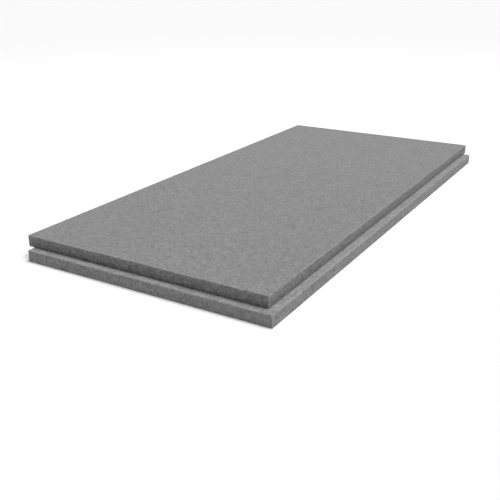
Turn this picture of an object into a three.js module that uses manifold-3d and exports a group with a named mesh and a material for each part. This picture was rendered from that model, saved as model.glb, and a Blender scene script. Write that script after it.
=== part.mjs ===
// Rebated EPS insulation board: one sheet of grey bead foam, lying flat.
// It is cut from a plain blank by milling a step along each of its four edges. Two edges keep the lower
// half of the thickness, as a ledge, and the two opposite edges keep the upper half, as a lip, so that
// each board laps over and under its neighbours.
// Millimetres, +Z up. The length runs along X and the width along Y. The origin is the centre of the
// underside of the bounding box. The ledges face -X and -Y, and the lips reach out to +X and +Y.
import * as THREE from "three";
import { mergeVertices } from "three/addons/utils/BufferGeometryUtils.js";
import Module from "manifold-3d";

// Driving dimensions
const boardLength = 1250; // overall, from the tip of the end ledge to the tip of the end lip
const boardWidth = 600; // overall, from the tip of the side ledge to the tip of the side lip
const boardThickness = 50;
const stepHeight = 25; // top of the ledges and underside of the lips, above the board's underside
const lipReach = 15; // how far each lip stands out past the lower half of the board
const lapClearance = 3; // how much wider each ledge is than the lip of the next board that lands on it
const cutterOverrun = 20; // how far each milling cutter runs past the faces of the blank

// Sizes that follow from them
const ledgeWidth = lipReach + lapClearance;
const blank = {
  x: [-boardLength / 2, boardLength / 2],
  y: [-boardWidth / 2, boardWidth / 2],
  z: [0, boardThickness],
};

const foam = new THREE.MeshStandardMaterial({
  name: "grey_eps_foam",
  color: 0x929292,
  roughness: 0.92,
  metalness: 0,
});

const wasm = await Module();
wasm.setup();

// A box between a low and a high value on each axis, as a three.js geometry
function boxBetween({ x, y, z }) {
  const box = new THREE.BoxGeometry(x[1] - x[0], y[1] - y[0], z[1] - z[0]);
  return box.translate((x[0] + x[1]) / 2, (y[0] + y[1]) / 2, (z[0] + z[1]) / 2);
}

// A closed three.js geometry as a manifold-3d solid
function toSolid(geometry) {
  const bare = geometry.clone();
  bare.deleteAttribute("normal");
  bare.deleteAttribute("uv");
  const merged = mergeVertices(bare);
  return new wasm.Manifold(
    new wasm.Mesh({
      numProp: 3,
      vertProperties: new Float32Array(merged.attributes.position.array),
      triVerts: new Uint32Array(merged.index.array),
    }),
  );
}

// A manifold-3d solid as a flat-shaded three.js geometry
function toGeometry(solid) {
  const mesh = solid.getMesh();
  const indexed = new THREE.BufferGeometry();
  indexed.setAttribute("position", new THREE.BufferAttribute(mesh.vertProperties, mesh.numProp));
  indexed.setIndex(new THREE.BufferAttribute(mesh.triVerts, 1));
  const faceted = indexed.toNonIndexed();
  faceted.computeVertexNormals();
  return faceted;
}

// The milling cutters, each a box that runs past the blank on every side but the two that it shapes
function rebateCutters() {
  const pastLength = [blank.x[0] - cutterOverrun, blank.x[1] + cutterOverrun];
  const pastWidth = [blank.y[0] - cutterOverrun, blank.y[1] + cutterOverrun];
  const aboveLedge = [stepHeight, blank.z[1] + cutterOverrun];
  const belowLip = [blank.z[0] - cutterOverrun, stepHeight];
  return {
    endLedge: { x: [pastLength[0], blank.x[0] + ledgeWidth], y: pastWidth, z: aboveLedge },
    sideLedge: { x: pastLength, y: [pastWidth[0], blank.y[0] + ledgeWidth], z: aboveLedge },
    endLip: { x: [blank.x[1] - lipReach, pastLength[1]], y: pastWidth, z: belowLip },
    sideLip: { x: pastLength, y: [blank.y[1] - lipReach, pastWidth[1]], z: belowLip },
  };
}

// The board: the blank with its four rebates milled away
function buildBoard() {
  let solid = toSolid(boxBetween(blank));
  for (const cutter of Object.values(rebateCutters())) {
    solid = solid.subtract(toSolid(boxBetween(cutter)));
  }
  const board = new THREE.Mesh(toGeometry(solid), foam);
  board.name = "eps_board";
  return board;
}

const insulationBoard = new THREE.Group();
insulationBoard.name = "rebated_insulation_board";
insulationBoard.add(buildBoard());

export default insulationBoard;
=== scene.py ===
# %% [markdown]
# A rebated insulation board
#
# The board is one sheet of grey expanded polystyrene. Small beads of plastic are foamed and steamed
# together into a big block. A hot wire slices the block into sheets, and a milling cutter then takes a
# step out of every edge, so that the sheets overlap when they are laid. This lesson reads the board's
# sizes from its CAD model, places the camera, models the board with mesh tools, gives it a procedural
# foam finish and lights it softly on a pale floor.

# %% Load the frame
import math
import random

import bmesh
import bpy
import numpy
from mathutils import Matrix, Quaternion, Vector


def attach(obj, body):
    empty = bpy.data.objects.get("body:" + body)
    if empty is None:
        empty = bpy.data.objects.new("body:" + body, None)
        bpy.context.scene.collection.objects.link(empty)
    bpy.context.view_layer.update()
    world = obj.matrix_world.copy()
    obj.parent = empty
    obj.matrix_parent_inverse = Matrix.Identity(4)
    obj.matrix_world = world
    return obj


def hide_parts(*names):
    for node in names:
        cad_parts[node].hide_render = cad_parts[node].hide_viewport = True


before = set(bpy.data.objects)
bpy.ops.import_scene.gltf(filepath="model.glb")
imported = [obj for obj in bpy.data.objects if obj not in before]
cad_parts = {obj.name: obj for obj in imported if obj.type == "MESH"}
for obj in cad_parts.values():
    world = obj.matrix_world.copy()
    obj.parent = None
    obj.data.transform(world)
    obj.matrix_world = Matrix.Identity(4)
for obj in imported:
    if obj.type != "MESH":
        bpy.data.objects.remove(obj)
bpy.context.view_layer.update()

# %% [markdown]
# The step lines
#
# Every edge of the board is stepped at half its thickness. Two edges keep their lower half, which
# sticks out as a ledge, and two keep their upper half, which overhangs as a lip. All of these places
# can be read from the corners of the CAD board: four along its length, four across its width and
# three in its height. Reading them here means that a change of size in CAD changes this model too.
# Places are rounded to a hundredth of a millimetre, so that equal ones count as one.

# %% Read the step lines
place_digits = 5
cad_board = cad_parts["eps_board"]


def places_along(axis):
    """The places of the CAD board's corners along one axis, lowest first."""
    found = {round(corner.co[axis], place_digits) for corner in cad_board.data.vertices}
    return sorted(found)


end_ledge_tip, upper_start_x, lower_end_x, end_lip_tip = places_along(0)
side_ledge_tip, upper_start_y, lower_end_y, side_lip_tip = places_along(1)
underside, step_height, top = places_along(2)
middle_height = (underside + top) / 2
print("along the length", end_ledge_tip, upper_start_x, lower_end_x, end_lip_tip)
print("across the width", side_ledge_tip, upper_start_y, lower_end_y, side_lip_tip)
print("in the height", underside, step_height, top)

# %% [markdown]
# The camera
#
# The photographer stood off the corner where the two ledges meet, and looked down at the board by
# about 22 degrees. The camera is placed by its position, the point that it aims at and a very small
# roll. It comes first, because every later choice of scale and light is judged through it.

# %% Place the camera
camera_place = Vector((-1.5790, -0.8291, 0.5910))
aim_point = Vector((-0.3900, -0.1146, 0.0250))
camera_roll = math.radians(-0.283)
lens_mm = 51.78
sensor_mm = 36.0

bpy.ops.object.select_all(action="DESELECT")
bpy.ops.object.camera_add(location=camera_place)
camera = bpy.context.object
camera.name = "photo_camera"
camera.rotation_mode = "QUATERNION"
level_view = (aim_point - camera_place).to_track_quat("-Z", "Y")
camera.rotation_quaternion = level_view @ Quaternion((0, 0, 1), camera_roll)
camera.data.lens = lens_mm
camera.data.sensor_width = sensor_mm
bpy.context.scene.camera = camera
print("camera to board", round((aim_point - camera_place).length, 3), "m")

# %% [markdown]
# Tools for selecting
#
# By hand, a face is picked with the mouse. In a script it is picked by its direction and its place,
# which also works after a size changes. These two helpers open a piece for editing with nothing
# selected, and select the faces that pass a test.

# %% Helpers that open a piece and pick its faces
def open_for_editing(piece):
    """Enters edit mode on one piece, with only that piece selected and none of its faces."""
    bpy.ops.object.select_all(action="DESELECT")
    piece.select_set(True)
    bpy.context.view_layer.objects.active = piece
    bpy.ops.object.mode_set(mode="EDIT")
    bpy.ops.mesh.select_all(action="DESELECT")


def pick_faces(piece, wanted):
    """Selects the faces whose normal and centre pass the test, and tells how many there are."""
    bpy.ops.mesh.select_mode(type="FACE")
    bpy.ops.mesh.select_all(action="DESELECT")
    mesh = bmesh.from_edit_mesh(piece.data)
    picked = [face for face in mesh.faces if wanted(face.normal, face.calc_center_median())]
    for face in picked:
        face.select_set(True)
    bmesh.update_edit_mesh(piece.data)
    return len(picked)


# %% [markdown]
# The block between the steps
#
# A board with stepped edges could be made by cutting four grooves out of a plain blank, or grown from
# the middle part that is there at every height. Growing it needs no boolean cut and keeps each face a
# clean rectangle, so the middle part comes first. It is bisected at the step height, so that its upper
# and lower halves have side faces of their own.

# %% Make the middle block and cut it at the step height
block_size = (lower_end_x - upper_start_x, lower_end_y - upper_start_y, top - underside)
block_centre = ((upper_start_x + lower_end_x) / 2, (upper_start_y + lower_end_y) / 2, middle_height)

bpy.ops.object.select_all(action="DESELECT")
bpy.ops.mesh.primitive_cube_add(size=1, location=block_centre, scale=block_size)
board = bpy.context.object
board.name = "insulation_board"
bpy.ops.object.transform_apply(location=True, rotation=True, scale=True)

open_for_editing(board)
bpy.ops.mesh.select_all(action="SELECT")
bpy.ops.mesh.bisect(plane_co=(0, 0, step_height), plane_no=(0, 0, 1))
print("middle block", [round(side, 4) for side in block_size], "m")

# %% [markdown]
# Ledges and lips
#
# The ledges are pulled out of the lower half and the lips out of the upper half. Each pair is done one
# edge after the other, and the second pull takes the end face of the first one with it, which fills
# the corner where the two ledges meet.

# %% Extrude the two ledges and the two lips
least_likeness = 0.9


def pull_out(direction, upper, reach):
    """Extrudes the side faces of the upper or the lower half that face a direction."""
    outward = Vector(direction)

    def wanted(normal, centre):
        return normal.dot(outward) > least_likeness and (centre.z > step_height) == upper

    picked_count = pick_faces(board, wanted)
    bpy.ops.mesh.extrude_region_move(TRANSFORM_OT_translate={"value": outward * reach})
    return picked_count


end_ledge_faces = pull_out((-1, 0, 0), upper=False, reach=upper_start_x - end_ledge_tip)
side_ledge_faces = pull_out((0, -1, 0), upper=False, reach=upper_start_y - side_ledge_tip)
end_lip_faces = pull_out((1, 0, 0), upper=True, reach=end_lip_tip - lower_end_x)
side_lip_faces = pull_out((0, 1, 0), upper=True, reach=side_lip_tip - lower_end_y)
print("faces pulled out", end_ledge_faces, side_ledge_faces, end_lip_faces, side_lip_faces)
print("volume", round(bmesh.from_edit_mesh(board.data).calc_volume(), 6), "cubic metres")

# %% [markdown]
# Arrises and panels
#
# Foam crumbles first along its outer edges, which joiners call arrises, and small voids between the
# beads show all over the cut faces. Both are scattered later, so the mesh is asked now, while it is
# simple, where its arrises and its flat panels are. An arris is an edge whose two faces meet at an
# outside right angle. The inside corners at the foot of each step are left out. A mesh may list its
# edges and faces in another order each time it is made, so both lists are sorted by place. Otherwise
# even a seeded scatter would differ from run to run.

# %% List the arrises and the flat panels
least_arris_angle = math.radians(60)


def is_arris(edge):
    """True for an outside corner between two faces, and false for a flat join or an inside corner."""
    return edge.is_convex and edge.calc_face_angle() > least_arris_angle


def by_place(place):
    """A sorting key that puts places in the same order in every run."""
    return tuple(round(value, place_digits) for value in place)


simple_mesh = bmesh.from_edit_mesh(board.data)
arrises = []
for edge in simple_mesh.edges:
    if is_arris(edge):
        start, end = sorted([corner.co.copy() for corner in edge.verts], key=by_place)
        outward = (edge.link_faces[0].normal + edge.link_faces[1].normal).normalized()
        arrises.append((start, end, outward))
arrises.sort(key=lambda arris: (by_place(arris[0]), by_place(arris[1])))

panels = []
for face in simple_mesh.faces:
    corner, along, across, _ = sorted([corner.co.copy() for corner in face.verts], key=by_place)
    panels.append((corner, along - corner, across - corner, face.normal.copy(), face.calc_area()))
panels.sort(key=lambda panel: (by_place(panel[0]), by_place(panel[3])))

arris_length = sum((end - start).length for start, end, _ in arrises)
panel_area = sum(panel[4] for panel in panels)
print(len(arrises), "arrises,", round(arris_length, 2), "m long")
print(len(panels), "panels,", round(panel_area, 3), "square metres")

# %% [markdown]
# Even panels
#
# A face of more than a metre that gets hundreds of small holes would be split into very long, thin
# triangles. Cutting it into squares of about 50 mm first keeps the mesh even. More cuts run 3 mm inside
# the arrises. They mark how far in from the arrises the finish later paints a pale highlight.

# %% Cut the faces into even panels and mark how far the painted arris highlight reaches
panel_side = 0.05
# How far in from an arris the painted highlight reaches, and where the extra cuts run.
highlight_reach = 0.003


def cut_across(place, normal):
    """Bisects the whole board through a place, across a normal."""
    bpy.ops.mesh.select_all(action="SELECT")
    bpy.ops.mesh.bisect(plane_co=place, plane_no=normal)


def cut_evenly(start, end, normal):
    """Cuts the whole board into even panels between a start and an end, across a normal."""
    panel_count = round((end - start).length / panel_side)
    for index in range(1, panel_count):
        cut_across(start.lerp(end, index / panel_count), normal)
    return panel_count


panels_x = cut_evenly(Vector((upper_start_x, 0, 0)), Vector((lower_end_x, 0, 0)), (1, 0, 0))
panels_y = cut_evenly(Vector((0, upper_start_y, 0)), Vector((0, lower_end_y, 0)), (0, 1, 0))

for x in (end_ledge_tip + highlight_reach, upper_start_x + highlight_reach):
    cut_across((x, 0, 0), (1, 0, 0))
for x in (lower_end_x - highlight_reach, end_lip_tip - highlight_reach):
    cut_across((x, 0, 0), (1, 0, 0))
for y in (side_ledge_tip + highlight_reach, upper_start_y + highlight_reach):
    cut_across((0, y, 0), (0, 1, 0))
for y in (lower_end_y - highlight_reach, side_lip_tip - highlight_reach):
    cut_across((0, y, 0), (0, 1, 0))
for height in (underside + highlight_reach, step_height - highlight_reach):
    cut_across((0, 0, height), (0, 0, 1))
for height in (step_height + highlight_reach, top - highlight_reach):
    cut_across((0, 0, height), (0, 0, 1))
print(panels_x, "by", panels_y, "panels,", len(bmesh.from_edit_mesh(board.data).faces), "faces")

# %% [markdown]
# Soft arrises
#
# A milled foam edge is never knife sharp. A bevel of a little over half a millimetre rounds every
# outside edge, and the inside corners at the foot of the steps stay crisp, as the cutter leaves them.

# %% Bevel the arrises
arris_round = 0.0006
arris_steps = 2

bpy.ops.mesh.select_mode(type="EDGE")
bpy.ops.mesh.select_all(action="DESELECT")
even_mesh = bmesh.from_edit_mesh(board.data)
for edge in even_mesh.edges:
    edge.select_set(is_arris(edge))
bmesh.update_edit_mesh(board.data)
bpy.ops.mesh.bevel(offset=arris_round, segments=arris_steps, affect="EDGES")
bpy.ops.object.mode_set(mode="OBJECT")
print(len(board.data.polygons), "faces with the arrises rounded")

# %% [markdown]
# Lost beads
#
# Where a bead has broken away it leaves a small round hollow. Along the arrises these hollows make the
# edge look slightly nibbled, and on the faces they are the dark pin-pricks that cut foam always has,
# dark from their own shade and from shade painted into them.
# Denting the mesh by hand would take for ever, so one lumpy bead is modelled, copied to a few thousand
# seeded random places, joined, and taken away from the board in a single boolean cut. The hollows are
# real shapes, so they catch light from any side.

# %% Model one lumpy bead for the arrises and one for the faces
chance = random.Random(11)
lumpiness = 0.12


def model_bead(name, roundness, seed):
    """A ball one metre in radius with its corners pushed about, to be shrunk to a bead."""
    bpy.ops.object.select_all(action="DESELECT")
    bpy.ops.mesh.primitive_ico_sphere_add(subdivisions=roundness, radius=1)
    bead = bpy.context.object
    bead.name = name
    open_for_editing(bead)
    bpy.ops.mesh.select_all(action="SELECT")
    bpy.ops.transform.vertex_random(offset=lumpiness, seed=seed)
    bpy.ops.object.mode_set(mode="OBJECT")
    return bead


arris_bead = model_bead("arris_bead", roundness=2, seed=5)
face_bead = model_bead("face_bead", roundness=1, seed=8)
print("bead models", len(arris_bead.data.polygons), "and", len(face_bead.data.polygons), "faces")

# %% Helpers that place bead copies clear of each other
grid_step = 0.006
bead_clearance = 1.15
taken_places = {}


def claim_place(place, radius):
    """Takes a place in a coarse grid for a bead, unless the bead would touch one that has its place."""
    cell = tuple(math.floor(value / grid_step) for value in place)
    for dx in (-1, 0, 1):
        for dy in (-1, 0, 1):
            for dz in (-1, 0, 1):
                for other, size in taken_places.get((cell[0] + dx, cell[1] + dy, cell[2] + dz), []):
                    if (place - other).length < bead_clearance * (radius + size):
                        return False
    taken_places.setdefault(cell, []).append((place, radius))
    return True


def copy_bead(model, place, radius):
    """A copy of a bead model with its own mesh, at a place, shrunk to a radius and turned at random."""
    bead = model.copy()
    bead.data = model.data.copy()
    bead.location = place
    bead.scale = (radius, radius, radius)
    bead.rotation_euler = [chance.uniform(0, math.tau) for _ in range(3)]
    bpy.context.collection.objects.link(bead)
    return bead


# %% Scatter beads along the arrises and over the faces
arris_spacing = 0.009
arris_bead_radius = (0.0009, 0.0019)
arris_bead_offset = (0.5, 0.9)
face_bead_count = 2600
face_bead_radius = (0.0006, 0.0012)
face_bead_offset = (0.25, 0.7)

beads = []
for start, end, outward in arrises:
    for _ in range(round((end - start).length / arris_spacing)):
        radius = chance.uniform(*arris_bead_radius)
        offset = radius * chance.uniform(*arris_bead_offset)
        place = start.lerp(end, chance.random()) + outward * offset
        if claim_place(place, radius):
            beads.append(copy_bead(arris_bead, place, radius))
arris_bead_count = len(beads)

panel_areas = [panel[4] for panel in panels]
for corner, along, across, outward, _ in chance.choices(panels, weights=panel_areas, k=face_bead_count):
    radius = chance.uniform(*face_bead_radius)
    offset = radius * chance.uniform(*face_bead_offset)
    place = corner + along * chance.random() + across * chance.random() + outward * offset
    if claim_place(place, radius):
        beads.append(copy_bead(face_bead, place, radius))
print(arris_bead_count, "beads along the arrises and", len(beads) - arris_bead_count, "on the faces")

# %% Join the beads
bpy.data.objects.remove(arris_bead)
bpy.data.objects.remove(face_bead)
bpy.ops.object.select_all(action="DESELECT")
for bead in beads:
    bead.select_set(True)
bpy.context.view_layer.objects.active = beads[0]
bpy.ops.object.join()
lost_beads = bpy.context.object
bpy.ops.object.transform_apply(location=True, rotation=True, scale=True)
print("joined beads", len(lost_beads.data.polygons), "faces")

# %% [markdown]
# Shader sums as Python sums
#
# A procedural finish is a chain of small nodes, and arithmetic on it soon fills a page. The class below
# wraps one output of a node, so that an expression such as `1 - seam * 0.3` adds the Math nodes by
# itself. Every other node comes from one function, which takes its type, its settings and what goes
# into its sockets.

# %% A signal that adds Math nodes by itself
noise_roughness = 0.55
noise_mean = 0.5


class Signal:
    """One output of a shader node. Sums and products with numbers or other signals add Math nodes."""

    def __init__(self, tree, socket):
        self.tree = tree
        self.socket = socket

    def combine(self, operation, first, second):
        """Adds one Math node that works on two values or signals."""
        return add_node(self.tree, "ShaderNodeMath", {"operation": operation}, {0: first, 1: second})

    def __add__(self, other):
        return self.combine("ADD", self, other)

    def __radd__(self, other):
        return self.combine("ADD", other, self)

    def __sub__(self, other):
        return self.combine("SUBTRACT", self, other)

    def __rsub__(self, other):
        return self.combine("SUBTRACT", other, self)

    def __mul__(self, other):
        return self.combine("MULTIPLY", self, other)

    def __gt__(self, limit):
        return self.combine("GREATER_THAN", self, limit)

    def __lt__(self, limit):
        return self.combine("LESS_THAN", self, limit)

    def __abs__(self):
        return self.combine("ABSOLUTE", self, 0)


def add_node(tree, kind, settings, sockets, output=0):
    """Adds a node, sets it, fills its sockets with values or signals, and returns one output."""
    node = tree.nodes.new(kind)
    for name, value in settings.items():
        setattr(node, name, value)
    for name, value in sockets.items():
        if isinstance(value, Signal):
            tree.links.new(value.socket, node.inputs[name])
        else:
            node.inputs[name].default_value = value
    return Signal(tree, node.outputs[output])


def soft_noise(tree, place, size, detail, output="Fac"):
    """Smooth noise between 0 and 1 with blotches of about the given size."""
    sockets = {"Vector": place, "Scale": 1 / size, "Detail": detail, "Roughness": noise_roughness}
    return add_node(tree, "ShaderNodeTexNoise", {}, sockets, output)


def centred(pattern):
    """A pattern between 0 and 1, moved down so that it swings about 0."""
    return pattern - noise_mean


def smooth_ramp(tree, value, start, end):
    """0 below a start and 1 above an end, with a soft passage between."""
    sockets = {"Value": value, "From Min": start, "From Max": end}
    return add_node(tree, "ShaderNodeMapRange", {"interpolation_type": "SMOOTHSTEP"}, sockets)


# %% [markdown]
# Bead foam
#
# Cut bead foam is a mosaic. Each bead shows as a rounded polygon of 3 to 5 mm with its own shade, a
# fine seam runs between it and its neighbours, and small sunken gaps are left where three or four beads
# meet, painted dark as the shade inside them.
# A 3D Voronoi texture sliced by the board's faces gives that mosaic, and because it fills space the
# beads run round the arrises as they do in real foam. Its borders are dead straight, so the places fed
# to it are shifted a little by noise first. The gaps are the places that lie farthest from any bead's
# centre. On top of it come a soft unevenness over a few beads, and a froth of fine noise.

# %% The beads as patterns
bead_size = 0.0042
bead_disorder = 0.85
dome_end = 0.4
seam_width = 0.0005
gap_start = 0.74
gap_end = 0.86
bend_size = 0.0032
bend_reach = 0.0032
clump_size = 0.013
patch_size = 0.16
froth_size = 0.0005


def bead_patterns(tree, place):
    """The shade, seams, gaps and domes of the beads, and the coarser and finer unevenness, 0 to 1."""
    bend = soft_noise(tree, place, bend_size, detail=1, output="Color")
    bent_place = add_node(
        tree,
        "ShaderNodeVectorMath",
        {"operation": "MULTIPLY_ADD"},
        {0: bend, 1: (bend_reach, bend_reach, bend_reach), 2: place},
        "Vector",
    )
    cells = {"Vector": bent_place, "Scale": 1 / bead_size, "Randomness": bead_disorder}
    bead_colour = add_node(tree, "ShaderNodeTexVoronoi", {"feature": "F1"}, cells, "Color")
    bead_shade = add_node(tree, "ShaderNodeSeparateColor", {}, {"Color": bead_colour}, "Red")
    to_centre = Signal(tree, bead_colour.socket.node.outputs["Distance"])
    to_seam = add_node(tree, "ShaderNodeTexVoronoi", {"feature": "DISTANCE_TO_EDGE"}, cells, "Distance")
    seam = 1 - smooth_ramp(tree, to_seam, 0, seam_width / bead_size)
    # The gaps sink in the relief, and the finish paints them dark as their shade.
    gap = smooth_ramp(tree, to_centre, gap_start, gap_end)
    dome = smooth_ramp(tree, to_seam, 0, dome_end)
    clump = soft_noise(tree, place, clump_size, detail=2)
    patch = soft_noise(tree, place, patch_size, detail=1)
    froth = soft_noise(tree, place, froth_size, detail=2)
    return bead_shade, seam, gap, dome, clump, patch, froth


# %% [markdown]
# Wire-cut and milled faces
#
# The top and the underside were sliced by a hot wire, which seals the beads a little and leaves them
# smooth. The steps and the sides were milled, which tears the froth open: those faces are a touch paler
# and rougher and carry fine streaks along the cutter's path. One material holds both finishes. It tells
# them apart by height, because only the wire-cut faces lie at the very top and bottom, and it turns the
# streaks at the two ends, where the cutter ran across the board. The milled faces of the lower half are
# a touch paler again.

# %% The marks of the milling cutter
wire_cut_skin = 0.0001
streak_height = 0.0016
streak_length = 0.05


def milled_mask(tree, height):
    """1 on the milled steps and sides, and 0 on the wire-cut top and underside."""
    half_thickness = (top - underside) / 2
    return abs(height - middle_height) < half_thickness - wire_cut_skin


def cutter_streaks(tree, place, along_board):
    """Fine streaks that run along X on the long sides and along Y at the two ends."""
    stretch = streak_height / streak_length
    side_place = add_node(
        tree, "ShaderNodeVectorMath", {"operation": "MULTIPLY"}, {0: place, 1: (stretch, 1, 1)}, "Vector"
    )
    end_place = add_node(
        tree, "ShaderNodeVectorMath", {"operation": "MULTIPLY"}, {0: place, 1: (1, stretch, 1)}, "Vector"
    )
    side_streaks = soft_noise(tree, side_place, streak_height, detail=1)
    end_streaks = soft_noise(tree, end_place, streak_height, detail=1)
    at_ledge_end = along_board < upper_start_x + wire_cut_skin
    at_lip_end = along_board > lower_end_x - wire_cut_skin
    at_ends = at_ledge_end + at_lip_end
    return side_streaks + at_ends * (end_streaks - side_streaks)


# %% The foam's material
foam_dark = (0.148, 0.148, 0.149, 1)
foam_light = (0.355, 0.355, 0.354, 1)
bead_contrast = 0.36
seam_contrast = 0.14
# How dark the gaps between beads are painted, as the shade inside them.
gap_painted_shade = 0.45
clump_contrast = 0.06
patch_contrast = 0.04
froth_contrast = 0.10
milled_bead_contrast = 0.22
milled_froth_contrast = 0.20
streak_contrast = 0.50
milled_lift = 0.05
lower_lift = 0.08
# A painted highlight along the arrises: how much it lifts the shade, and the size of its patches.
highlight_lift = 0.30
highlight_patch_size = 0.012
millimetre = 0.001
dome_relief_mm = 0.12
gap_relief_mm = 0.3
froth_relief_mm = 0.05
streak_relief_mm = 0.12
bead_roughness = 0.12
milled_roughness = 0.05
foam_shine = 0.35


def make_foam(name, base_shade, roughness):
    """A foam finish around a base shade, which runs from 0, the darkest foam, to 1, the lightest."""
    material = bpy.data.materials.new(name)
    material.use_nodes = True
    tree = material.node_tree
    shader = tree.nodes["Principled BSDF"]
    place = add_node(tree, "ShaderNodeTexCoord", {}, {}, "Object")
    along_board = add_node(tree, "ShaderNodeSeparateXYZ", {}, {"Vector": place}, "X")
    height = add_node(tree, "ShaderNodeSeparateXYZ", {}, {"Vector": place}, "Z")
    bead_shade, seam, gap, dome, clump, patch, froth = bead_patterns(tree, place)
    milled = milled_mask(tree, height)
    lower_half = milled * (height < step_height + wire_cut_skin)
    streaks = milled * centred(cutter_streaks(tree, place, along_board))
    # The painted highlight along the arrises, read from the mesh and broken into patches by noise.
    edge_highlight = add_node(tree, "ShaderNodeAttribute", {"attribute_name": "arris_highlight"}, {}, "Fac")
    patchy_highlight = edge_highlight * soft_noise(tree, place, highlight_patch_size, detail=2) * (1 / noise_mean)

    shade = (
        base_shade
        + centred(bead_shade) * (bead_contrast + milled * milled_bead_contrast)
        - seam * seam_contrast
        - gap * gap_painted_shade
        + centred(clump) * clump_contrast
        # painted shade in the sunken gaps between beads
        + centred(patch) * patch_contrast
        + centred(froth) * (froth_contrast + milled * milled_froth_contrast)
        + streaks * streak_contrast
        + milled * milled_lift
        + lower_half * lower_lift
        # painted highlight along the arrises
        + patchy_highlight * highlight_lift
    )
    colour = add_node(
        tree,
        "ShaderNodeMix",
        {"data_type": "RGBA"},
        {"Factor": shade, "A": foam_dark, "B": foam_light},
        "Result",
    )
    relief_mm = (
        dome * dome_relief_mm
        - gap * gap_relief_mm
        + froth * froth_relief_mm
        + streaks * streak_relief_mm
    )
    relief = add_node(tree, "ShaderNodeBump", {}, {"Height": relief_mm, "Distance": millimetre}, "Normal")
    uneven_roughness = roughness + centred(bead_shade) * bead_roughness + milled * milled_roughness
    tree.links.new(colour.socket, shader.inputs["Base Color"])
    tree.links.new(relief.socket, shader.inputs["Normal"])
    tree.links.new(uneven_roughness.socket, shader.inputs["Roughness"])
    shader.inputs["Specular IOR Level"].default_value = foam_shine
    return material


cut_foam = make_foam("grey_bead_foam", base_shade=0.50, roughness=0.84)
# The hollows' finish is smoother, and its lower base shade is painted shade inside the hollows.
bead_hollow = make_foam("bead_hollow", base_shade=0.36, roughness=0.7)
print("foam materials", cut_foam.name, bead_hollow.name)

# %% [markdown]
# The cut
#
# The boolean modifier takes the joined beads away. Each side brings its own material, so the inside of
# a hollow gets the smoother skin of the bead that sat next to it, with a darker tone that is painted
# shade. The modifier is applied and the cutting beads are deleted. The cut leaves faces with dozens of
# corners and a few edges shorter than a micron, so the mesh is turned into triangles and those edges are
# dissolved. Its open edges are then counted, and there should be none.

# %% Apply the cut, clean the mesh and smooth the hollows
smooth_below = math.radians(32)
shortest_edge = 0.000001

board.data.materials.append(cut_foam)
lost_beads.data.materials.append(bead_hollow)
bpy.ops.object.select_all(action="DESELECT")
board.select_set(True)
bpy.context.view_layer.objects.active = board
cut = board.modifiers.new("lost_beads", "BOOLEAN")
cut.operation = "DIFFERENCE"
cut.solver = "MANIFOLD"
cut.object = lost_beads
cut.material_mode = "TRANSFER"
bpy.ops.object.modifier_apply(modifier="lost_beads")
bpy.data.objects.remove(lost_beads)

open_for_editing(board)
bpy.ops.mesh.select_all(action="SELECT")
bpy.ops.mesh.quads_convert_to_tris(quad_method="BEAUTY", ngon_method="BEAUTY")
bpy.ops.mesh.dissolve_degenerate(threshold=shortest_edge)
bpy.ops.object.mode_set(mode="OBJECT")
bpy.ops.object.shade_smooth_by_angle(angle=smooth_below)

finished = bmesh.new()
finished.from_mesh(board.data)
open_edges = sum(1 for edge in finished.edges if not edge.is_manifold)
triangle_count = len(finished.calc_loop_triangles())
print(triangle_count, "triangles,", open_edges, "open edges,", round(finished.calc_volume(), 6), "m3")
finished.free()

# %% [markdown]
# Painted arris highlight
#
# The finish paints a pale highlight along the board's arrises, where edges catch the light. How strong
# it is at each corner point of its mesh is a number: 1 on an arris, and 0 from 3 mm inwards. It is stored
# on the mesh as an attribute, and the material reads it by its name. The cuts that were made 3 mm inside
# the arrises are what keeps it from spreading over a whole panel.

# %% Store the painted arris highlight on the mesh
corner_places = numpy.array([corner.co for corner in board.data.vertices])
to_arris = numpy.full(len(corner_places), math.inf)
for start, end, _ in arrises:
    along = numpy.array(end - start)
    from_start = corner_places - numpy.array(start)
    share = numpy.clip(from_start @ along / (along @ along), 0, 1)
    to_this_arris = numpy.linalg.norm(from_start - share[:, None] * along, axis=1)
    to_arris = numpy.minimum(to_arris, to_this_arris)
# The strength of the painted highlight: 1 on an arris, falling to 0 at the highlight's reach.
arris_highlight = numpy.clip(1 - to_arris / highlight_reach, 0, 1)
highlight_attribute = board.data.attributes.new("arris_highlight", "FLOAT", "POINT")
highlight_attribute.data.foreach_set("value", arris_highlight.astype("f"))
# Corner points that carry some of the painted highlight.
print("worn corner points", int((arris_highlight > 0).sum()), "of", len(arris_highlight))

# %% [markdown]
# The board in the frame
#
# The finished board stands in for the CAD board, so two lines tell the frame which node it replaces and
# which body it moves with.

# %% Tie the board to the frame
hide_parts("eps_board")
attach(board, "root")
print("tied to the frame:", board.name)

# %% [markdown]
# The stage
#
# A plain white floor lies just under the board. It reaches far past the board, so that it fills most of
# the picture, and it throws soft light back on the board's sides. The white backdrop round it is seen by
# the camera only: it closes the view above the floor's edge without lighting the board.

# %% Floor and backdrop
floor_half = 15
floor_drop = 0.0002
floor_white = 0.92
backdrop_white = 1.0
backdrop_radius = 18


def make_plain(name, brightness, glowing):
    """A plain white material, either a matt surface or an even glow."""
    material = bpy.data.materials.new(name)
    material.use_nodes = True
    shader = material.node_tree.nodes["Principled BSDF"]
    tone = (brightness, brightness, brightness, 1)
    shader.inputs["Base Color"].default_value = (0, 0, 0, 1) if glowing else tone
    shader.inputs["Roughness"].default_value = 1
    shader.inputs["Specular IOR Level"].default_value = 0
    shader.inputs["Emission Color"].default_value = tone
    shader.inputs["Emission Strength"].default_value = 1 if glowing else 0
    return material


bpy.ops.object.select_all(action="DESELECT")
bpy.ops.mesh.primitive_plane_add(size=2 * floor_half, location=(0, 0, underside - floor_drop))
floor = bpy.context.object
floor.name = "studio_floor"
floor.data.materials.append(make_plain("floor_white", floor_white, glowing=False))

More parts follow.
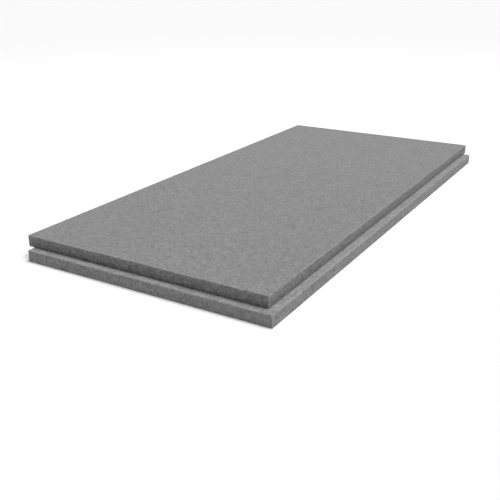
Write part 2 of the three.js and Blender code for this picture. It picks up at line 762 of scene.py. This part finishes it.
bpy.ops.object.select_all(action="DESELECT")
bpy.ops.mesh.primitive_uv_sphere_add(segments=48, ring_count=24, radius=backdrop_radius)
backdrop = bpy.context.object
backdrop.name = "studio_backdrop"
backdrop.data.materials.append(make_plain("backdrop_glow", backdrop_white, glowing=True))
backdrop.visible_diffuse = False
backdrop.visible_glossy = False
backdrop.visible_transmission = False
backdrop.visible_shadow = False
print("floor", 2 * floor_half, "m wide, backdrop", 2 * backdrop_radius, "m across")

# %% [markdown]
# The light
#
# The photo's light comes from high above, leaning towards the long side with the ledge: the top is the
# brightest face, the long side is a little darker, and the near end is lit only by what the floor
# throws back. A sun lamp with a wide disc gives exactly that, evenly over the whole floor, with soft
# shadows that fall behind the board. A large soft lamp over the far end lifts the top a little there,
# and a weak one low in front of the near end opens the shadow at the foot of its step.

# %% Key light
sky_point = Vector((0.10, -0.27, 0.96))
key_distance = 5
key_strength = 3.35
key_softness = math.radians(35)

bpy.ops.object.select_all(action="DESELECT")
bpy.ops.object.light_add(type="SUN", location=sky_point * key_distance)
key = bpy.context.object
key.name = "key_light"
key.rotation_mode = "QUATERNION"
key.rotation_quaternion = (-sky_point).to_track_quat("-Z", "Y")
key.data.energy = key_strength
key.data.angle = key_softness
print("key light from", sky_point[:])


# %% Soft lamps over the far end and in front of the near end
def add_soft_lamp(name, place, target, watts, size):
    """A square lamp that is aimed at a target and isn't seen by the camera."""
    bpy.ops.object.select_all(action="DESELECT")
    bpy.ops.object.light_add(type="AREA", location=place)
    lamp = bpy.context.object
    lamp.name = name
    lamp.rotation_mode = "QUATERNION"
    lamp.rotation_quaternion = (Vector(target) - Vector(place)).to_track_quat("-Z", "Y")
    lamp.data.energy = watts
    lamp.data.size = size
    lamp.visible_camera = False
    return lamp


far_lamp = add_soft_lamp("far_lamp", place=(1.3, 0.7, 1.8), target=(0.6, 0.3, 0), watts=8, size=1.4)
near_lamp = add_soft_lamp("near_lamp", place=(-2.6, 0, 0.8), target=(-0.6, 0, 0), watts=1.1, size=1.6)
print("soft lamps", far_lamp.name, near_lamp.name)

# %% Air and picture settings
air_strength = 0.02

scene = bpy.context.scene
scene.world = bpy.data.worlds.new("studio_air")
scene.world.use_nodes = True
air = scene.world.node_tree.nodes["Background"]
air.inputs["Color"].default_value = (1, 1, 1, 1)
air.inputs["Strength"].default_value = air_strength
scene.view_settings.view_transform = "Standard"
print("air strength", air_strength)
